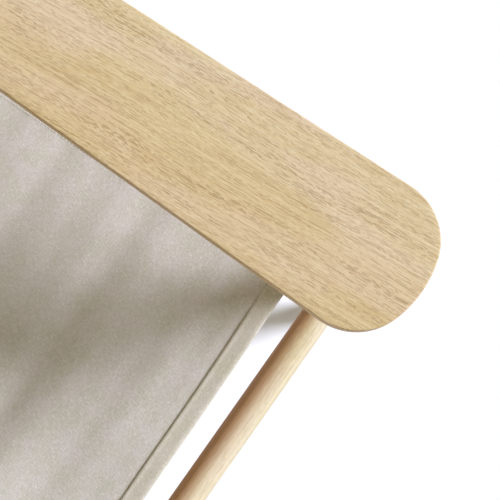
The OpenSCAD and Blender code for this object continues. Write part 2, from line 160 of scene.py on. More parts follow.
# One large soft lamp, far away in front of the chair on the sitter's left, and an even warm fill.
# The lamp's spread is the angle that it takes up, and its strength is in watts per square metre.
KEY_AZIMUTH = -43.0
KEY_ELEVATION = 34.0
KEY_SPREAD = 19.0
KEY_STRENGTH = 4.55
KEY_COLOUR = (0.96, 1.0, 1.15)
KEY_DISTANCE = 4.0
FILL_COLOUR = (1.0, 0.94, 0.70, 1.0)
FILL_STRENGTH = 0.35
WHITE = (1.0, 1.0, 1.0, 1.0)
FLOOR_HALF = 6.0
FLOOR_COLOUR = (0.895, 0.897, 0.930, 1.0)


def turned_by(angle, axis):
    return Matrix.Rotation(math.radians(angle), 4, axis)


SEAT_FRAME = Matrix.Translation((0, FRONT_LEG_Y, SIDE_RAIL_Z)) @ turned_by(-SEAT_SLOPE, "X")
BACK_BASE = SEAT_FRAME @ Vector((0, SEAT_RAIL_AT, 0))
BACK_FRAME = Matrix.Translation(BACK_BASE) @ turned_by(-BACK_RECLINE, "X")


# Camera, lamps and floor
def add_object(name, data):
    added = bpy.data.objects.new(name, data)
    bpy.context.scene.collection.objects.link(added)
    return added


def make_camera():
    heading, tilt = math.radians(VIEW_HEADING), math.radians(VIEW_TILT)
    ahead = Vector((-math.sin(heading), math.cos(heading), 0))
    look = math.sin(tilt) * ahead - math.cos(tilt) * Vector((0, 0, 1))
    up = math.cos(tilt) * ahead + math.sin(tilt) * Vector((0, 0, 1))
    right = look.cross(up)
    data = bpy.data.cameras.new("camera")
    data.lens, data.sensor_width = LENS_MM, SENSOR_MM
    data.clip_start, data.clip_end = CLIP_NEAR, CLIP_FAR
    cam = add_object("camera", data)
    turn = Matrix((right, up, -look)).transposed().to_4x4()
    cam.matrix_world = Matrix.Translation(VIEW_TARGET - VIEW_DISTANCE * look) @ turn
    bpy.context.scene.camera = cam


def make_lamp():
    data = bpy.data.lights.new("key", "SUN")
    data.energy, data.color, data.angle = KEY_STRENGTH, KEY_COLOUR, math.radians(KEY_SPREAD)
    turn, up = math.radians(KEY_AZIMUTH), math.radians(KEY_ELEVATION)
    way = Vector((math.cos(up) * math.cos(turn), math.cos(up) * math.sin(turn), math.sin(up)))
    lamp = add_object("key", data)
    lamp.location = VIEW_TARGET + KEY_DISTANCE * way
    lamp.rotation_mode = "QUATERNION"
    lamp.rotation_quaternion = way.to_track_quat("Z", "Y")


def node_tree(owner):
    owner.use_nodes = True
    tree = owner.node_tree
    tree.nodes.clear()
    return tree


def seen_directly(tree):
    """1 for the rays that show the world itself: the camera's, mirrored and let-through ones."""
    path = tree.nodes.new("ShaderNodeLightPath")
    seen = path.outputs["Is Camera Ray"]
    for ray in ("Is Glossy Ray", "Is Transmission Ray"):
        either = tree.nodes.new("ShaderNodeMath")
        either.operation = "MAXIMUM"
        tree.links.new(seen, either.inputs[0])
        tree.links.new(path.outputs[ray], either.inputs[1])
        seen = either.outputs[0]
    return seen


def make_world():
    """The even fill for the shading, and plain white wherever the world itself is seen."""
    world = bpy.data.worlds.new("studio")
    bpy.context.scene.world = world
    tree = node_tree(world)
    fill, white = (tree.nodes.new("ShaderNodeBackground") for _ in range(2))
    fill.inputs["Color"].default_value = FILL_COLOUR
    fill.inputs["Strength"].default_value = FILL_STRENGTH
    white.inputs["Color"].default_value = WHITE
    mix = tree.nodes.new("ShaderNodeMixShader")
    out = tree.nodes.new("ShaderNodeOutputWorld")
    tree.links.new(seen_directly(tree), mix.inputs[0])
    tree.links.new(fill.outputs[0], mix.inputs[1])
    tree.links.new(white.outputs[0], mix.inputs[2])
    tree.links.new(mix.outputs[0], out.inputs[0])


def make_floor():
    mesh = bpy.data.meshes.new("floor")
    h = FLOOR_HALF
    mesh.from_pydata([(-h, -h, 0), (h, -h, 0), (h, h, 0), (-h, h, 0)], [], [(0, 1, 2, 3)])
    floor = add_object("floor", mesh)
    material = bpy.data.materials.new("floor_white")
    tree = node_tree(material)
    matt = tree.nodes.new("ShaderNodeBsdfDiffuse")
    matt.inputs["Color"].default_value = FLOOR_COLOUR
    out = tree.nodes.new("ShaderNodeOutputMaterial")
    tree.links.new(matt.outputs[0], out.inputs[0])
    mesh.materials.append(material)


# Finishes
class Shader:
    """A material's node tree, with short calls for the nodes that the finishes share."""

    def __init__(self, name):
        self.material = bpy.data.materials.new(name)
        self.tree = node_tree(self.material)
        self.skin = self.tree.nodes.new("ShaderNodeBsdfPrincipled")
        out = self.tree.nodes.new("ShaderNodeOutputMaterial")
        self.tree.links.new(self.skin.outputs[0], out.inputs[0])

    def link(self, source, socket):
        """Sets a plain value on the socket, or joins another node's output to it."""
        if isinstance(source, (int, float, tuple)):
            socket.default_value = source
        else:
            self.tree.links.new(source, socket)

    def node(self, kind, **values):
        made = self.tree.nodes.new("ShaderNode" + kind)
        for key, value in values.items():
            setattr(made, key, value)
        return made

    def mapped(self, source, scale=(1, 1, 1), turn=(0, 0, 0), shift=(0, 0, 0)):
        made = self.node("Mapping", vector_type="POINT")
        self.link(source, made.inputs["Vector"])
        made.inputs["Location"].default_value = shift
        made.inputs["Rotation"].default_value = [math.radians(a) for a in turn]
        made.inputs["Scale"].default_value = scale
        return made.outputs[0]

    def noise(self, at, cells=1.0, detail=2.0, rough=0.5):
        made = self.node("TexNoise", noise_dimensions="3D")
        self.link(at, made.inputs["Vector"])
        made.inputs["Scale"].default_value = cells
        made.inputs["Detail"].default_value = detail
        made.inputs["Roughness"].default_value = rough
        return made.outputs[0]

    def pattern(self, at, cells, shift=(0, 0, 0), detail=2.0, rough=0.5):
        """Noise with its own number of cells per metre along each axis."""
        return self.noise(self.mapped(at, scale=cells, shift=shift), detail=detail, rough=rough)

    def math(self, operation, a, b=0.0):
        made = self.node("Math", operation=operation)
        for value, socket in zip((a, b), made.inputs):
            self.link(value, socket)
        return made.outputs[0]

    def fit(self, value, low, high, to_low=0.0, to_high=1.0):
        made = self.node("MapRange", interpolation_type="SMOOTHSTEP")
        self.link(value, made.inputs[0])
        for socket, number in zip(made.inputs[1:5], (low, high, to_low, to_high)):
            socket.default_value = number
        return made.outputs[0]

    def axes(self, source):
        made = self.node("SeparateXYZ")
        self.link(source, made.inputs[0])
        return made.outputs

    def mix(self, share, a, b, blend="MIX"):
        """Two colours mixed, on the node's colour sockets."""
        made = self.node("Mix", data_type="RGBA", blend_type=blend)
        self.link(share, made.inputs[0])
        self.link(a, made.inputs[6])
        self.link(b, made.inputs[7])
        return made.outputs[2]

    def bump(self, height, distance):
        made = self.node("Bump")
        made.inputs["Strength"].default_value = 1.0
        made.inputs["Distance"].default_value = distance
        self.link(height, made.inputs["Height"])
        return made.outputs[0]

    def done(self, colour, rough, normal, sheen=0.0, specular=0.5):
        self.link(colour, self.skin.inputs["Base Color"])
        self.link(rough, self.skin.inputs["Roughness"])
        self.link(normal, self.skin.inputs["Normal"])
        self.skin.inputs["Sheen Weight"].default_value = sheen
        self.skin.inputs["Specular IOR Level"].default_value = specular
        return self.material


def srgb(r, g, b):
    """A colour as a photograph shows it, in 0 to 255, as the shader's linear colour."""
    linear = [
        (x / 12.92 if x <= 0.04045 else ((x + 0.055) / 1.055) ** 2.4)
        for x in (r / 255, g / 255, b / 255)
    ]
    return (*linear, 1.0)


OAK_PALE = srgb(211, 189, 145)
OAK_WARM = srgb(197, 168, 119)
OAK_ROSE = srgb(213, 188, 156)
OAK_FIBRE = srgb(174, 144, 95)
OAK_FLECK = srgb(220, 203, 166)
OAK_PORE = srgb(134, 100, 57)
# Brown painted shade: the front rail's rear side and the armrests' edges turn this colour
OAK_PAINTED_SHADE = srgb(161, 104, 40)
# Paler, cooler painted highlight toward the armrests' outer edges
PAINTED_HIGHLIGHT_LIFT = (1.045, 1.085, 1.18, 1.0)
OPEN_PORES = 0.42
OAK_SPECULAR = 0.35
OAK_BUMP = 0.00015
FIBRE_HEIGHT = 0.25
# The wood's noises: cells per metre along the grain and twice across it, and their place
WANDER = dict(cells=(3.0, 12, 12))
BANDS = dict(cells=(3.0, 105, 80), rough=0.6)
PATCHES = dict(cells=(9, 26, 26), shift=(3, 1, 2))
STREAKS = dict(cells=(12, 560, 560), shift=(2, 6, 1))
FIBRES = dict(cells=(110, 1400, 1400), shift=(7, 3, 5), detail=1.0)
# Pores: lines per metre across the grain, breaks per metre along it, and their place
FINE_PORES, FINEST_PORES = (1300, 140, 0), (1750, 260, 4)
LINES_ALONG, BREAKS_ACROSS = 8, 1000
# What the noises are turned into: from low and high in the noise, to low and high in the wood
WANDER_ACROSS = (0.2, 0.8, -0.006, 0.006)
WANDER_THROUGH = (0.8, 0.2, -0.004, 0.004)
BANDS_TO_WARM = (0.32, 0.68, 0.18, 0.58)
PATCHES_TO_ROSE = (0.40, 0.62, 0.0, 0.75)
STREAKS_TO_FIBRE = (0.30, 0.70, 0.0, 0.36)
FIBRES_TO_FLECK = (0.50, 0.68, 0.0, 0.44)
PORE_LINES, PORE_BREAKS = (0.52, 0.63), (0.49, 0.60)
PORES_IN_BANDS = (0.35, 0.65, 0.55, 1.0)
# Painted highlight and painted shade: their wander, shade by facing, and the facings that are
# edges
PAINTED_HIGHLIGHT_WANDER = (0.3, 0.7, -0.003, 0.003)
PAINTED_SHADE_WANDER = (0.3, 0.7, -0.1, 0.1)
PAINTED_SHADE_SHARE = (-0.75, 0.75, 0.0, 0.82)
PAINTED_EDGE_SHADE_FACING = (0.2, 0.95)
OAK_ROUGH = (0.3, 0.7, 0.58, 0.66)
# The armrests' grain runs a little across the boards. Their edges get painted shade, browner, and
# their outer sides a painted highlight, paler and cooler. The front rail is paler and closer
# grained, with painted shade, browner, on its rear side.
ARM_GRAIN = 85.7
ARM_EDGE_PAINTED_SHADE = 0.24
ARM_PAINTED_HIGHLIGHT = (0.304, 0.325)
FRONT_RAIL_LIFT = (0.965, 1.09, 1.26, 1.0)
FRONT_RAIL_SHADED_SIDE = (0, 1, -0.15)
FRONT_RAIL_PORES = 0.2


def wandering(s, at):
    """The wood's own coordinates, X along a grain that wanders a little."""
    wander = s.pattern(at, **WANDER)
    offset = s.node("CombineXYZ")
    s.link(s.fit(wander, *WANDER_ACROSS), offset.inputs[1])
    s.link(s.fit(wander, *WANDER_THROUGH), offset.inputs[2])
    wandered = s.node("VectorMath", operation="ADD")
    s.link(at, wandered.inputs[0])
    s.link(offset.outputs[0], wandered.inputs[1])
    return wandered.outputs[0]


def dashes(s, grain, fine, breaks, shift):
    """Pores as straight short dashes, one behind the other in thin lines along the grain."""
    lines = s.pattern(grain, (LINES_ALONG, fine, fine), (shift, 2, 8), detail=0.0)
    broken = s.pattern(grain, (breaks, BREAKS_ACROSS, BREAKS_ACROSS), (5, shift, 3), detail=0.0)
    return s.math("MULTIPLY", s.fit(lines, *PORE_LINES), s.fit(broken, *PORE_BREAKS))


def grown(s, grain, bands, patches, fibres):
    """The wood's colour: growth rings as soft bands several millimetres wide, broad warmer and
    paler patches, fine fibres and pale streaks."""
    colour = s.mix(s.fit(bands, *BANDS_TO_WARM), OAK_PALE, OAK_WARM)
    colour = s.mix(s.fit(patches, *PATCHES_TO_ROSE), colour, OAK_ROSE)
    streaks = s.pattern(grain, **STREAKS)
    colour = s.mix(s.fit(streaks, *STREAKS_TO_FIBRE), colour, OAK_FIBRE)
    return s.mix(s.fit(fibres, *FIBRES_TO_FLECK), colour, OAK_FLECK)


# Painted highlight: the board turns paler and cooler out toward its outer edge
def with_painted_highlight(s, colour, place, patches, painted_highlight):
    outward = s.math("ABSOLUTE", s.axes(place)[0])
    outward = s.math("ADD", outward, s.fit(patches, *PAINTED_HIGHLIGHT_WANDER))
    return s.mix(s.fit(outward, *painted_highlight), colour, PAINTED_HIGHLIGHT_LIFT, "MULTIPLY")


# Painted shade: the side facing the given direction turns browner
def with_painted_shade_side(s, colour, facing, patches, shaded_side):
    side = s.node("VectorMath", operation="DOT_PRODUCT")
    s.link(facing, side.inputs[0])
    side.inputs[1].default_value = Vector(shaded_side).normalized()
    toward = s.math("ADD", side.outputs["Value"], s.fit(patches, *PAINTED_SHADE_WANDER))
    return s.mix(s.fit(toward, *PAINTED_SHADE_SHARE), colour, OAK_PAINTED_SHADE)


# Painted shade: upright faces, the board's edges, turn browner
def with_painted_edge_shade(s, colour, facing, edge):
    upright = s.math("ABSOLUTE", s.axes(facing)[2])
    return s.mix(s.fit(upright, *PAINTED_EDGE_SHADE_FACING, edge, 0.0), colour, OAK_PAINTED_SHADE)


def oak(name, turn=(0, 0, 0), shift=(0, 0, 0), lift=None, shaded_side=None, edge=0.0,
        open_pores=OPEN_PORES, painted_highlight=None):
    """Soaped pale oak. turn brings the piece's grain onto X, shift picks its stretch of the tree,
    lift scales its colour, the direction after it gives the side that is painted browner as
    shade, edge says how much browner, as painted shade, a board's edges are than its faces,
    open_pores how dark its pores are, and the last argument from where to where, out from the
    chair's middle, the board is painted paler and cooler as a highlight."""
    s = Shader(name)
    coords = s.node("TexCoord")
    place, facing = coords.outputs["Object"], coords.outputs["Normal"]
    grain = wandering(s, s.mapped(place, turn=turn, shift=shift))
    bands, patches, fibres = (s.pattern(grain, **kind) for kind in (BANDS, PATCHES, FIBRES))
    pores = s.math("MAXIMUM", dashes(s, grain, *FINE_PORES), dashes(s, grain, *FINEST_PORES))
    pores = s.math("MULTIPLY", pores, s.fit(bands, *PORES_IN_BANDS))
    colour = grown(s, grain, bands, patches, fibres)
    colour = s.mix(s.math("MULTIPLY", pores, open_pores), colour, OAK_PORE)
    if lift is not None:
        colour = s.mix(1.0, colour, lift, "MULTIPLY")
    if painted_highlight is not None:
        colour = with_painted_highlight(s, colour, place, patches, painted_highlight)
    if shaded_side is not None:
        colour = with_painted_shade_side(s, colour, facing, patches, shaded_side)
    if edge:
        colour = with_painted_edge_shade(s, colour, facing, edge)
    height = s.math("SUBTRACT", s.math("MULTIPLY", fibres, FIBRE_HEIGHT), pores)
    return s.done(colour, s.fit(bands, *OAK_ROUGH), s.bump(height, OAK_BUMP),
        specular=OAK_SPECULAR)


CLOTH_UV = "cloth"
CANVAS_PALE = srgb(213, 206, 202)
CANVAS_DIM = srgb(202, 198, 185)
CANVAS_FLUFF = srgb(184, 176, 165)
CANVAS_THIN = srgb(174, 166, 153)
CANVAS_THICK = srgb(230, 225, 219)
CANVAS_GAPS = srgb(166, 158, 142)
# Painted warm bounce light on the hems, a yellower tint, and how fast it fades in behind them
HEM_PAINTED_BOUNCE = (0.975, 0.965, 0.89, 1.0)
HEM_PAINTED_BOUNCE_FADE = 0.0006
WEAVE_PITCH = 0.00105
WEAVE_HEIGHT, SLUB_HEIGHT, CANVAS_BUMP = 0.5, 0.9, 0.00010
CANVAS_ROUGH, CANVAS_SHEEN, CANVAS_SPECULAR = 0.93, 0.12, 0.15
# The canvas's noises, as the wood's are given, and what they are turned into
SLUBS_ACROSS = dict(cells=(210, 1000, 1), detail=1.0)
SLUBS_ALONG = dict(cells=(1000, 210, 1), shift=(3, 5, 0), detail=1.0)
FLUFF = dict(cells=(620, 620, 1), shift=(1, 8, 0), rough=0.6)
MOTTLE = dict(cells=(45, 45, 1), detail=4.0, rough=0.65)
THICK_THREADS, THIN_THREADS = (0.56, 0.72), (0.44, 0.28)
THICK_SHARE, THIN_SHARE = 0.52, 0.36
MOTTLE_SHARE = (0.32, 0.68)
FLUFF_SHARE = (0.38, 0.62, 0.22, 0.0)
GAP_SHARE = (-1.0, -0.1, 0.20, 0.0)


def threads(s, flat):
    """Where the threads thicken and where they thin, across and along, each as 0 to 1."""
    across, along = s.pattern(flat, **SLUBS_ACROSS), s.pattern(flat, **SLUBS_ALONG)
    return (s.math("MAXIMUM", s.fit(across, *window), s.fit(along, *window))
        for window in (THICK_THREADS, THIN_THREADS))


def plain_weave(s, axes):
    turn = 2 * math.pi / WEAVE_PITCH
    warp, weft = (s.math("SINE", s.math("MULTIPLY", axis, turn)) for axis in (axes[0], axes[1]))
    return s.math("MULTIPLY", warp, weft)


def canvas(name, length):
    """Natural cotton canvas in a plain weave, laid out on the cloth's own flat coordinates. The
    doubled hems at both ends of the cloth's length carry painted warm bounce light, a little
    yellower."""
    s = Shader(name)
    flat = s.node("UVMap", uv_map=CLOTH_UV).outputs[0]
    axes = s.axes(flat)
    weave = plain_weave(s, axes)
    thick, thin = threads(s, flat)
    fluff, mottle = (s.pattern(flat, **kind) for kind in (FLUFF, MOTTLE))
    colour = s.mix(s.fit(mottle, *MOTTLE_SHARE), CANVAS_PALE, CANVAS_DIM)
    colour = s.mix(s.fit(fluff, *FLUFF_SHARE), colour, CANVAS_FLUFF)
    colour = s.mix(s.math("MULTIPLY", thin, THIN_SHARE), colour, CANVAS_THIN)
    colour = s.mix(s.math("MULTIPLY", thick, THICK_SHARE), colour, CANVAS_THICK)
    colour = s.mix(s.fit(weave, *GAP_SHARE), colour, CANVAS_GAPS)
    # Painted warm bounce light on the hems at both ends
    from_end = s.math("MINIMUM", axes[1], s.math("SUBTRACT", length, axes[1]))
    hem = s.fit(from_end, HEM_W - HEM_PAINTED_BOUNCE_FADE, HEM_W, 1.0, 0.0)
    colour = s.mix(hem, colour, HEM_PAINTED_BOUNCE, "MULTIPLY")
    height = s.math("ADD", s.math("MULTIPLY", weave, WEAVE_HEIGHT),
        s.math("MULTIPLY", thick, SLUB_HEIGHT))
    normal = s.bump(s.math("ADD", height, fluff), CANVAS_BUMP)
    return s.done(colour, CANVAS_ROUGH, normal, sheen=CANVAS_SHEEN, specular=CANVAS_SPECULAR)


def speckled(name, first, second, cells, detail, rough, deep, coarse=0.5, window=None, **skin):
    """A plain finish whose colour and surface vary with one fine noise."""
    s = Shader(name)
    grit = s.noise(s.node("TexCoord").outputs["Object"], cells, detail, coarse)
    share = grit if window is None else s.fit(grit, *window)
    return s.done(s.mix(share, first, second), rough, s.bump(grit, deep), **skin)


# Pieces made here
def add_mesh(name, points, faces, material, replaced=(), uv=None):
    mesh = bpy.data.meshes.new(name)
    mesh.from_pydata([tuple(p) for p in points], [], [tuple(f) for f in faces])
    mesh.validate()
    mesh.shade_smooth()
    if uv is not None:
        layer = mesh.uv_layers.new(name=CLOTH_UV)
        index = np.empty(len(mesh.loops), int)
        mesh.loops.foreach_get("vertex_index", index)
        layer.data.foreach_set("uv", np.asarray(uv, np.float32)[index].ravel())
    mesh.materials.append(material)
    piece = add_object(name, mesh)
    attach(piece, "root")
    if replaced:
        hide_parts(*replaced)
    return piece


def tube_faces(rings, sides, start=0, down=False):
    """Faces round a row of rings and over its two ends, for rings that go up or down."""
    faces = []
    last = start + (rings - 1) * sides
    for row in range(start, last, sides):
        for k in range(sides):
            a, b = row + k, row + (k + 1) % sides
            faces.append((a, a + sides, b + sides, b) if down else (a, b, b + sides, a + sides))
    bottom, top = (tuple(range(first, first + sides)) for first in (start, last))
    return faces + ([bottom, top[::-1]] if down else [bottom[::-1], top])


def smoothstep(x, low, high):
    t = min(1.0, max(0.0, (x - low) / (high - low)))
    return t * t * (3 - 2 * t)


def hump(x, at, half):
    return math.exp(-(((x - at) / half) ** 2))


def rumple(u, v, cells, shift):
    """Smooth noise on the cloth, with its number of cells per metre across and along."""
    return noise.noise(Vector((u * cells[0] + shift[0], v * cells[1] + shift[1], shift[2])))


def arc(centre, radius, start, end):
    """Points of an arc with their outward directions, from one angle to another, in degrees."""
    found = []
    for i in range(ARM_ARC_STEPS + 1):
        a = math.radians(start + (end - start) * i / ARM_ARC_STEPS)
        out = Vector((math.cos(a), math.sin(a)))
        found.append((centre + radius * out, out))
    return found


def bowed_end(middle_x, tip_y, width, corner_r, bow_r):
    """The front end of an armrest, from its left side round its tip to its right side."""
    spread = math.degrees(math.asin((width / 2 - corner_r) / (bow_r - corner_r)))
    deep = bow_r - math.sqrt((bow_r - corner_r) ** 2 - (width / 2 - corner_r) ** 2)
    left = Vector((middle_x - width / 2 + corner_r, tip_y + deep))
    right = Vector((middle_x + width / 2 - corner_r, tip_y + deep))
    bow = Vector((middle_x, tip_y + bow_r))
    found = arc(left, corner_r, 180, 270 - spread)
    found += arc(bow, bow_r, 270 - spread, 270 + spread)[1:]
    return found + arc(right, corner_r, 270 + spread, 360)[1:]


def arm_outline(side):
    front = bowed_end(LEG_X, ARM_TIP_Y, ARM_FRONT_W, ARM_FRONT_CORNER_R, ARM_FRONT_BOW_R)
    rear = bowed_end(LEG_X - ARM_TOE, -ARM_END_Y, ARM_REAR_W, ARM_REAR_CORNER_R, ARM_REAR_BOW_R)
    rear = [(Vector((p.x, -p.y)), Vector((d.x, -d.y))) for p, d in reversed(rear)]
    ring = front + rear
    if side < 0:
        ring = [(Vector((-p.x, p.y)), Vector((-d.x, d.y))) for p, d in reversed(ring)]
    return ring


def arris_steps(round_r, edge_z, up):
    """Inward offsets and heights round an arris, from the flat face out to the side."""
    for i in range(ARRIS_STEPS + 1):
        a = math.radians(90 * i / ARRIS_STEPS)
        yield round_r * (1 - math.sin(a)), edge_z - up * round_r * (1 - math.cos(a))


def armrest(name, side, material):
    ring = arm_outline(side)
    under = ARM_TOP - ARM_T
    rows = [(ARM_TOP_INNER, ARM_TOP), *arris_steps(ARM_TOP_ROUND, ARM_TOP, 1)]
    rows += reversed(list(arris_steps(ARM_UNDER_ROUND, under, -1)))
    rows.append((ARM_UNDER_INNER, under))
    points = [(p.x - inset * d.x, p.y - inset * d.y, z) for inset, z in rows for p, d in ring]
    faces = tube_faces(len(rows), len(ring), down=True)
    return add_mesh(name + "_board", points, faces, material, (name,))


def chained(start, *legs):
    """Places from a start to the end of each leg in turn, a leg being its end and its steps."""
    places = [start]
    for end, cuts in legs:
        places += list(np.linspace(places[-1], end, cuts + 1))[1:]
    return places


def grid_faces(across, along, gone):
    """Faces of a grid of points, without the cells that are gone."""
    starts = [j * across + i for j in range(along - 1) for i in range(across - 1)
        if (i, j) not in gone]
    return [(a, a + 1, a + across + 1, a + across) for a in starts]


def grid_border(low_i, high_i, low_j, high_j):
    """Grid places once round a block of cells."""
    border = [(i, low_j) for i in range(low_i, high_i)]
    border += [(high_i, j) for j in range(low_j, high_j)]
    border += [(i, high_j) for i in range(high_i, low_i, -1)]
    return border + [(low_i, j) for j in range(high_j, low_j, -1)]


def ring_faces(rings):
    """Faces between rings of points, the innermost ring first."""
    faces = []
    for inner, outer in zip(rings, rings[1:]):
        for k in range(len(inner)):
            n = (k + 1) % len(inner)
            faces.append((outer[k], outer[n], inner[n], inner[k]))
    return faces


def two_sided(quads, loops, count):
    """A sheet's upper faces, the lower ones behind them, and a strip round each edge loop."""
    faces = quads + [tuple(k + count for k in reversed(quad)) for quad in quads]
    for loop in loops:
        for a, b in zip(loop, loop[1:] + loop[:1]):
            faces.append((a, a + count, b + count, b))
    return faces


def only_used(points, faces, uv):
    """The mesh without the grid points inside the openings, which no face uses."""
    kept = sorted({k for face in faces for k in face})
    new = {old: k for k, old in enumerate(kept)}
    faces = [tuple(new[k] for k in face) for face in faces]
    return [points[k] for k in kept], faces, [uv[k] for k in kept]


class Sling:
    """A canvas stretched between two bars, with a sewn sleeve round each. Its cloth coordinates
    are u across, from the middle, and v along the bars, from the first hem's edge."""

    def __init__(self, matrix, half_span, bar_r, sag, length, creases, swells, seed, flip=False,
            peg=None):
        self.matrix, self.half_span, self.length, self.flip = matrix, half_span, length, flip
        self.creases, self.swells, self.seed = creases, swells, seed
        self.in_r = bar_r + CANVAS_GAP
        self.hang(sag)
        self.sew()
        self.openings = [] if peg is None else self.peg_openings(peg)

    def hang(self, sag):
        """The shallow arc between the bars."""
        reach = (self.half_span**2 + sag**2) / (2 * sag)
        self.sag_r = reach - self.in_r
        self.top = self.in_r - sag + self.sag_r
        self.tangent = math.asin(self.half_span / reach)
        self.sag_len = self.sag_r * self.tangent

    def sew(self):
        """The turn round a bar, the straight run back up, and the part sewn to its own back."""
        self.turn = math.radians(SLEEVE_TURN)
        self.leave = Vector((self.half_span - self.in_r * math.sin(self.turn),
            -self.in_r * math.cos(self.turn)))
        self.rise = Vector((-math.cos(self.turn), math.sin(self.turn)))
        off = self.leave - Vector((0, self.top))
        ahead = off.dot(self.rise)
        run_len = -ahead - math.sqrt(ahead**2 - off.dot(off) + self.sag_r**2)
        self.seam_angle = math.asin((self.leave + run_len * self.rise).x / self.sag_r)
        self.seam_at = self.sag_r * self.seam_angle
        self.wrap_end = self.sag_len + self.in_r * (math.pi + self.tangent + self.turn)
        self.run_end = self.wrap_end + run_len
        self.half_len = self.run_end + SEAM_W
        self.flat_w = 2 * self.half_len

    def peg_openings(self, peg):
        """Round openings for the pegs, where a sleeve is farthest out: middle and half sizes."""
        outermost = self.sag_len + self.in_r * (math.pi / 2 + self.tangent)
        along = (self.matrix.inverted() @ peg).z
        half_u = self.in_r * math.asin(OPENING_R / (self.in_r + CANVAS_T / 2))
        return [(side * outermost, along, half_u, OPENING_R) for side in (-1, 1)]

    def inner(self, u):
        """The bar side's place and its outward direction in the cross-section."""
        side = -1.0 if u < 0 else 1.0
        s = abs(u)
        if s <= self.sag_len:
            a = s / self.sag_r
            x, y = self.sag_r * math.sin(a), self.top - self.sag_r * math.cos(a)
            nx, ny = -math.sin(a), math.cos(a)
        elif s <= self.wrap_end:
            a = math.pi / 2 + self.tangent - (s - self.sag_len) / self.in_r
            x, y = self.half_span + self.in_r * math.cos(a), self.in_r * math.sin(a)
            nx, ny = math.cos(a), math.sin(a)
        elif s <= self.run_end:
            x, y = self.leave + (s - self.wrap_end) * self.rise
            nx, ny = -math.sin(self.turn), -math.cos(self.turn)
        else:
            a = self.seam_angle - (s - self.run_end) / self.sag_r
            x, y = self.sag_r * math.sin(a), self.top - self.sag_r * math.cos(a)
            nx, ny = math.sin(a), -math.cos(a)
        return side * x, y, side * nx, ny

    def from_hem(self, v):
        """How far a place along the bars is from the nearer end of the cloth."""
        return min(v, self.length - v)

    def layers(self, u, v):
        """Heights of the cloth's two faces above the bar side: hems with a stitched groove at
        their inner edge and a rolled outer edge."""
        end = self.from_hem(v)
        hem = 1 - smoothstep(end, HEM_W - HEM_STEP, HEM_W)
        groove = GROOVE_DEPTH * hump(end, HEM_W + GROOVE_AT, GROOVE_HALF)
        crown = CROWN_HEIGHT * hump(end, HEM_W + CROWN_AT, CROWN_HALF)
        full = CANVAS_T + hem * HEM_EXTRA - groove + crown * hem
        roll = 0.0
        if end < HEM_ROLL:
            q = 1 - end / HEM_ROLL
            roll = full / 2 * (1 - math.sqrt(max(0.0, 1 - q * q)))
        tip = max(0.0, (abs(u) - self.half_len + CUT_ROLL) / CUT_ROLL)
        edge = CANVAS_T / 2 * (1 - math.sqrt(max(0.0, 1 - tip * tip)))
        return max(roll, edge), full - max(roll, edge)

    def folds(self, u, v):
        """Soft ridges and creases that run from bar to bar."""
        bent = v + CREASE_BEND * abs(u)
        wave = WAVE_HEIGHT * rumple(u, bent, WAVE_CELLS, (self.seed, 0.0, self.seed))
        small = SMALL_HEIGHT * rumple(u, bent, SMALL_CELLS, (0.0, self.seed, SMALL_PLACE))
        middle = smoothstep(self.half_span - abs(u), 0.0, MIDDLE_SHARE * self.half_span)
        dips = sum((by_bar + middle * (deep - by_bar)) * hump(bent, at, half)
            for at, by_bar, deep, half in self.creases)
        return wave + small - dips

    def droop(self, u, end):
        low, high = DROOP_FROM_HEM
        near = 1 - smoothstep(end, HEM_W + low, HEM_W + high)
        return HEM_DROOP * near * smoothstep(self.half_span - abs(u), *DROOP_FROM_BAR)

    def puckers(self, u, v, end):
        """Small puckers behind the hems and beside the sleeves' seams."""
        at_hem = rumple(u, v, HEM_PUCKER_CELLS, (0.0, 0.0, self.seed + HEM_PUCKER_PLACE))
        at_hem *= hump(end, HEM_W + HEM_PUCKER_AT, HEM_PUCKER_HALF)
        at_seam = rumple(u, v, SEAM_PUCKER_CELLS, (0.0, 0.0, self.seed + SEAM_PUCKER_PLACE))
        at_seam *= hump(abs(u), self.seam_at + SEAM_PUCKER_AT, SEAM_PUCKER_HALF)
        return HEM_PUCKER_HEIGHT * at_hem + SEAM_PUCKER_HEIGHT * at_seam

    def ripple(self, u, v):
        """How far the free cloth stands above its plain arc."""
        s, end = min(abs(u), self.sag_len), self.from_hem(v)
        free = 1 - smoothstep(s, self.sag_len - BAR_CALM, self.sag_len)
        inside = smoothstep(end, HEM_W, HEM_W + HEM_CALM)
        swell = sum(high * hump(s, at, half) for at, high, half in self.swells)
        return (self.folds(u, v) * inside + swell - self.droop(u, end)
            + self.puckers(u, v, end)) * free

    def height(self, u, v, face):
        """Height above the bar side. The part that is sewn down follows the cloth above it."""
        flat = self.layers(u, v)[face]
        s = abs(u)
        if s > self.run_end:
            below = math.copysign(self.seam_at - (s - self.run_end), u)
            return flat - self.ripple(below, v)
        return flat + (self.ripple(u, v) if s <= self.sag_len else 0.0)

    def place(self, u, v, lift=0.0, face=1):
        x, y, nx, ny = self.inner(u)
        h = self.height(u, v, face) + lift
        if self.flip:
            local = Vector((x + h * nx, -(y + h * ny), v))
        else:
            local = Vector((x + h * nx, v, y + h * ny))
        return self.matrix @ local

    def outward(self, u, face=1):
        _, _, nx, ny = self.inner(u)
        local = Vector((nx, -ny, 0)) if self.flip else Vector((nx, 0, ny))
        out = (self.matrix.to_3x3() @ local).normalized()
        return out if face else -out

    def u_steps(self):
        steps = chained(0.0, (self.seam_at - BESIDE_SEAM, SAG_CUTS),
            (self.sag_len, BESIDE_SEAM_CUTS), (self.wrap_end, WRAP_CUTS),
            (self.run_end, RUN_CUTS), (self.half_len - CUT_ROLL, SEWN_CUTS))
        steps += [self.half_len - x for x in CUT_ROLL_PLACES]
        return [float(s) for s in [-s for s in reversed(steps[1:])] + steps]

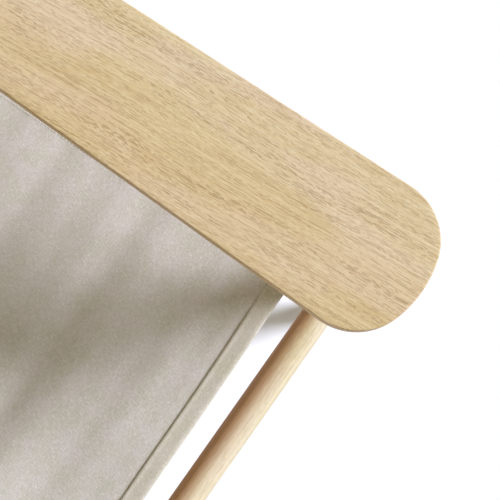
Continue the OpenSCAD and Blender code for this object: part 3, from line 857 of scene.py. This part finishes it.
    def v_steps(self):
        hem = [HEM_ROLL * x for x in HEM_ROLL_SHARES]
        hem += chained(HEM_ROLL, (HEM_W + HEM_FLAT_TO, HEM_FLAT_CUTS),
            (HEM_W + HEM_GROOVE_TO, HEM_GROOVE_CUTS), (HEM_W + HEM_BEHIND_TO, HEM_BEHIND_CUTS))
        middle = chained(hem[-1], (self.length - hem[-1], LENGTH_CUTS))[1:-1]
        return [float(v) for v in hem + middle + [self.length - h for h in reversed(hem)]]

    def opening_patch(self, opening, us, vs, flat):
        """Rings of flat places from a round opening out to the grid lines about it, and the
        cells that they stand for."""
        u0, v0, half_u, half_v = opening
        low_i = max(i for i, u in enumerate(us) if u < u0 - OPENING_REACH * half_u)
        high_i = min(i for i, u in enumerate(us) if u > u0 + OPENING_REACH * half_u)
        low_j = max(j for j, v in enumerate(vs) if v < v0 - OPENING_REACH * half_v)
        high_j = min(j for j, v in enumerate(vs) if v > v0 + OPENING_REACH * half_v)
        border = grid_border(low_i, high_i, low_j, high_j)
        rings = []
        for share in OPENING_RING_SHARES:
            start = len(flat)
            for i, j in border:
                du, dv = (us[i] - u0) / half_u, (vs[j] - v0) / half_v
                far = math.hypot(du, dv)
                edge = (u0 + half_u * du / far, v0 + half_v * dv / far)
                flat.append(tuple(a + share * (b - a) for a, b in zip(edge, (us[i], vs[j]))))
            rings.append([start + k for k in range(len(border))])
        rings.append([j * len(us) + i for i, j in border])
        taken = {(i, j) for i in range(low_i, high_i) for j in range(low_j, high_j)}
        return rings, taken

    def mesh(self):
        """Points, faces and flat places of the whole cloth, a closed sheet of its thickness."""
        us, vs = self.u_steps(), self.v_steps()
        flat = [(u, v) for v in vs for u in us]
        quads, loops, gone = [], [], set()
        for opening in self.openings:
            rings, taken = self.opening_patch(opening, us, vs, flat)
            gone |= taken
            loops.append(rings[0][::-1])
            quads += ring_faces(rings)
        quads += grid_faces(len(us), len(vs), gone)
        border = grid_border(0, len(us) - 1, 0, len(vs) - 1)
        loops.append([j * len(us) + i for i, j in border])
        points = [self.place(u, v, face=face) for face in (1, 0) for u, v in flat]
        faces = two_sided(quads, loops, len(flat))
        if self.flip:
            faces = [tuple(reversed(f)) for f in faces]
        return only_used(points, faces, flat + flat)


def one_stitch(sling, from_flat, to_flat, face, points, faces):
    """A short thread that rises from the cloth at one flat place and dips back at another."""
    centres = []
    for share, height in zip(STITCH_SHARES, STITCH_HEIGHTS):
        u, v = (a + share * (b - a) for a, b in zip(from_flat, to_flat))
        lift = height * STITCH_R
        centres.append(sling.place(u, v, lift if face else -lift, face))
    up = sling.outward((from_flat[0] + to_flat[0]) / 2, face)
    along = (centres[-1] - centres[0]).normalized()
    across = along.cross(up).normalized()
    faces += tube_faces(len(centres), STITCH_SIDES, start=len(points))
    for centre in centres:
        for k in range(STITCH_SIDES):
            a = 2 * math.pi * k / STITCH_SIDES
            points.append(centre + STITCH_R * (math.cos(a) * across + math.sin(a) * up))


def straight_rows(sling):
    """Rows along both hems on both faces, and along both sleeves' seams above and below: each
    row's line, whether it runs across, its face, and its start and end."""
    half = sling.half_len - ROW_CLEAR
    free = sling.seam_at - BESIDE_SEAM
    for line in (HEM_W + GROOVE_AT, sling.length - HEM_W - GROOVE_AT):
        yield line, True, 1, -half, half
        yield line, True, 0, -free, free
    for side in (-1, 1):
        for inset in (SEAM_ROW_IN, SEAM_W - SEAM_ROW_IN):
            for line in (sling.seam_at - inset, sling.run_end + inset):
                yield side * line, False, 1, ROW_CLEAR, sling.length - ROW_CLEAR


def row_stitches(line, runs_across, low, high):
    """The ends of each stitch in a straight row."""
    count = int((high - low) / STITCH_PITCH)
    for n in range(count):
        middle = low + (n + 0.5) * (high - low) / count
        places = (middle - STITCH_LEN / 2, middle + STITCH_LEN / 2)
        yield [(at, line) if runs_across else (line, at) for at in places]


def opening_stitches(opening):
    """The ends of each stitch round an opening, which all point away from its middle."""
    u0, v0, half_u, half_v = opening
    for k in range(OPENING_STITCHES):
        a = 2 * math.pi * k / OPENING_STITCHES
        places = (OPENING_STITCH_FROM, OPENING_STITCH_FROM + OPENING_STITCH_LEN)
        yield [(u0 + (half_u + out) * math.cos(a), v0 + (half_v + out) * math.sin(a))
            for out in places]


def stitching(name, sling, material):
    points, faces = [], []
    for line, runs_across, face, low, high in straight_rows(sling):
        for ends in row_stitches(line, runs_across, low, high):
            one_stitch(sling, *ends, face, points, faces)
    for opening in sling.openings:
        for ends in opening_stitches(opening):
            one_stitch(sling, *ends, 1, points, faces)
    return add_mesh(name, points, faces, material)


def add_cloth(name, sling, material):
    points, faces, uv = sling.mesh()
    cloth = canvas(name + "_cloth", sling.length)
    sheet = add_mesh(name + "_sling", points, faces, cloth, (name + "_canvas",), uv)
    sewn = stitching(name + "_stitching", sling, material)


def dress(node, material):
    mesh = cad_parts[node].data
    mesh.materials.clear()
    mesh.materials.append(material)


bpy.context.scene.view_settings.view_transform = "Standard"
make_camera()
make_world()
make_floor()
make_lamp()

OAKS = {
    "armrest": oak("oak_armrest", turn=(0, 0, ARM_GRAIN), shift=(0.3, 0.11, 0.05),
        edge=ARM_EDGE_PAINTED_SHADE, painted_highlight=ARM_PAINTED_HIGHLIGHT),
    "upright": oak("oak_upright", turn=(0, 90, 0), shift=(1.3, 0.2, 0.4)),
    "rear_leg": oak("oak_rear_leg", turn=(-REAR_LEG_RAKE, 90, 0), shift=(2.1, 0.5, 0.1)),
    "side": oak("oak_side", turn=(SEAT_SLOPE, 0, -90), shift=(0.7, 1.3, 0.2)),
    "cross": oak("oak_cross", shift=(1.9, 0.7, 1.1)),
    "front": oak("oak_front", shift=(1.2, 0.3, 0.8), lift=FRONT_RAIL_LIFT,
        shaded_side=FRONT_RAIL_SHADED_SIDE, open_pores=FRONT_RAIL_PORES),
    "post": oak("oak_post", turn=(BACK_RECLINE, 90, 0), shift=(0.2, 2.3, 0.9)),
}
OAK_NODES = {
    "upright": ("left_front_leg", "right_front_leg"),
    "rear_leg": ("left_rear_leg", "right_rear_leg"),
    "side": ("left_side_rail", "right_side_rail"),
    "front": ("front_rail",),
    "cross": ("rear_rail", "rear_seat_rail", "top_rail", "left_back_peg", "right_back_peg"),
    "post": ("left_back_post", "right_back_post"),
}
THREAD = speckled("stitching_thread", srgb(216, 210, 196), srgb(196, 188, 170), cells=1500,
    detail=1.0, window=(0.3, 0.7), rough=0.8, deep=0.00005, sheen=0.1, specular=0.2)
NYLON = speckled("nylon", srgb(58, 55, 52), srgb(74, 71, 67), cells=2200, detail=2.0,
    rough=0.5, deep=0.00004)
FELT = speckled("felt", srgb(112, 104, 94), srgb(142, 133, 121), cells=1400, detail=4.0,
    coarse=0.7, rough=0.97, deep=0.0004, sheen=0.3, specular=0.1)

for wood, nodes in OAK_NODES.items():
    for node in nodes:
        dress(node, OAKS[wood])
dress("glide_bodies", NYLON)
dress("glide_felts", FELT)

armrest("left_armrest", 1, OAKS["armrest"])
armrest("right_armrest", -1, OAKS["armrest"])
seat = Sling(SEAT_FRAME @ Matrix.Translation((0, SEAT_FROM, 0)), LEG_X, SIDE_RAIL_R,
    SEAT_SAG, SEAT_LEN, SEAT_CREASES, SEAT_SWELLS, seed=1.7)
back = Sling(BACK_FRAME @ Matrix.Translation((0, 0, BACK_FROM)), POST_X, POST_R,
    BACK_SAG, BACK_LEN, BACK_CREASES, BACK_SWELLS, seed=5.3, flip=True,
    peg=Vector((POST_X, PEG_Y, PEG_Z)))
add_cloth("seat", seat, THREAD)
add_cloth("back", back, THREAD)
